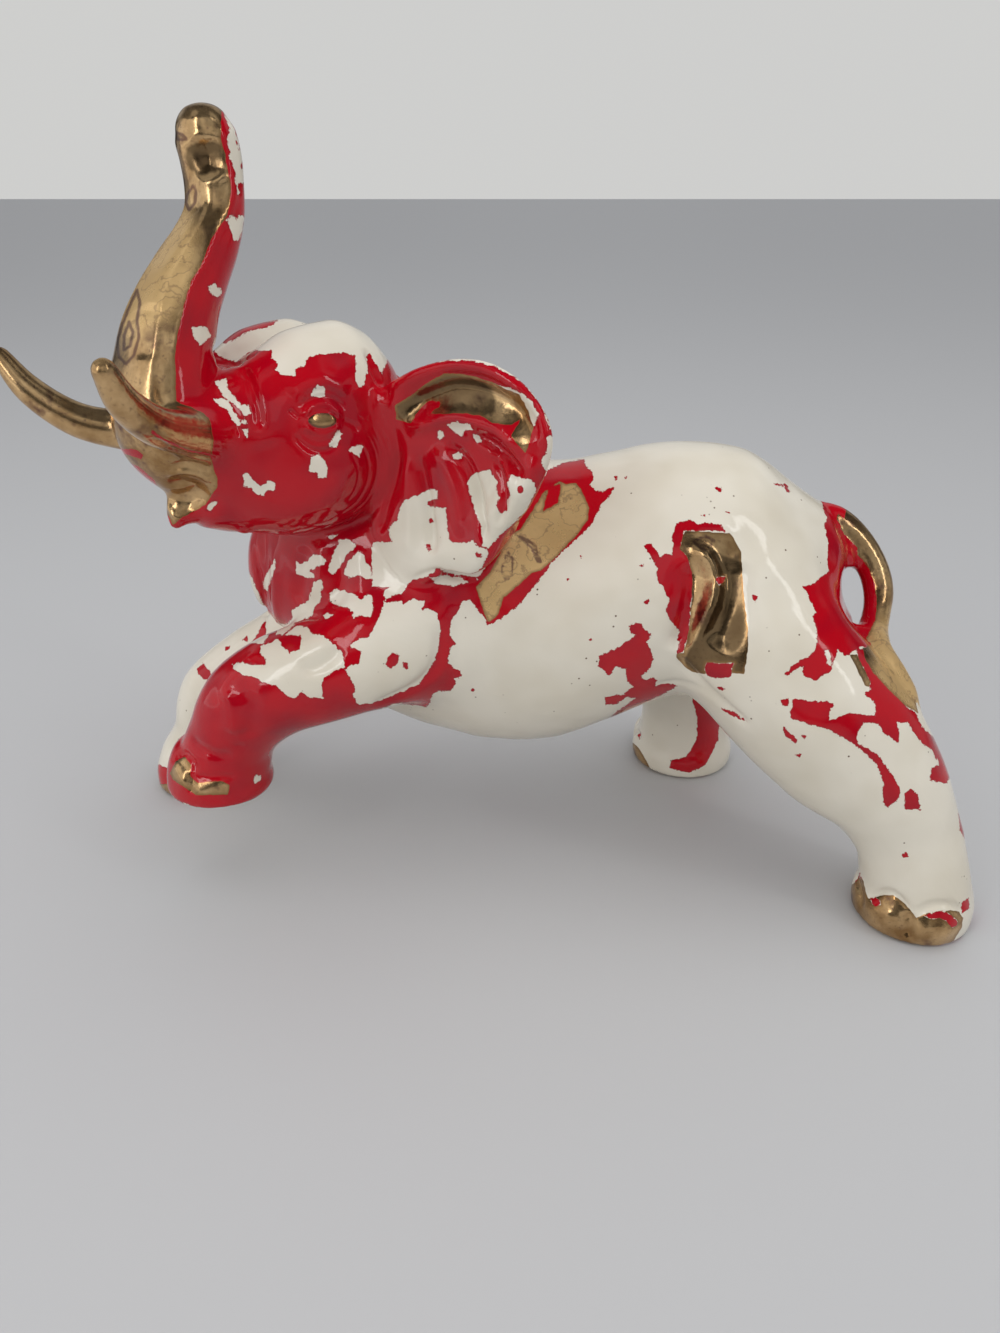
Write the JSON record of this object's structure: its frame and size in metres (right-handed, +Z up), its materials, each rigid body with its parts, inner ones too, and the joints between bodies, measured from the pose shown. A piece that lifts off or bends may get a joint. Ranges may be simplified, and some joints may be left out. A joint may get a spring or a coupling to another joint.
{
  "type": "elephant figurine",
  "caption": "Glazed ceramic elephant ornament, charging with raised trunk, spread ears, tusks and one lifted forefoot.",
  "frame": {"origin": "middle of the object's base, level with the three soles it stands on", "axes": "+Z up, the body lies along X and faces -X, the elephant's left side is -Y"},
  "size_m": [0.2818, 0.1522, 0.2261],
  "materials": {
    "glaze": "glossy cream glaze with torn-edged red patches",
    "gold_lustre": "fired gold lustre over glossy glaze"
  },
  "bodies": {
    "root": {"torso": "glaze", "head": "glaze", "lower_jaw": "glaze", "trunk": "glaze", "tusk_left": "gold_lustre", "tusk_right": "gold_lustre", "ear_left": "glaze", "ear_right": "glaze", "foreleg_left": "glaze", "foreleg_right": "glaze", "hind_leg_left": "glaze", "hind_leg_right": "glaze", "tail": "gold_lustre"}
  },
  "joints": []
}
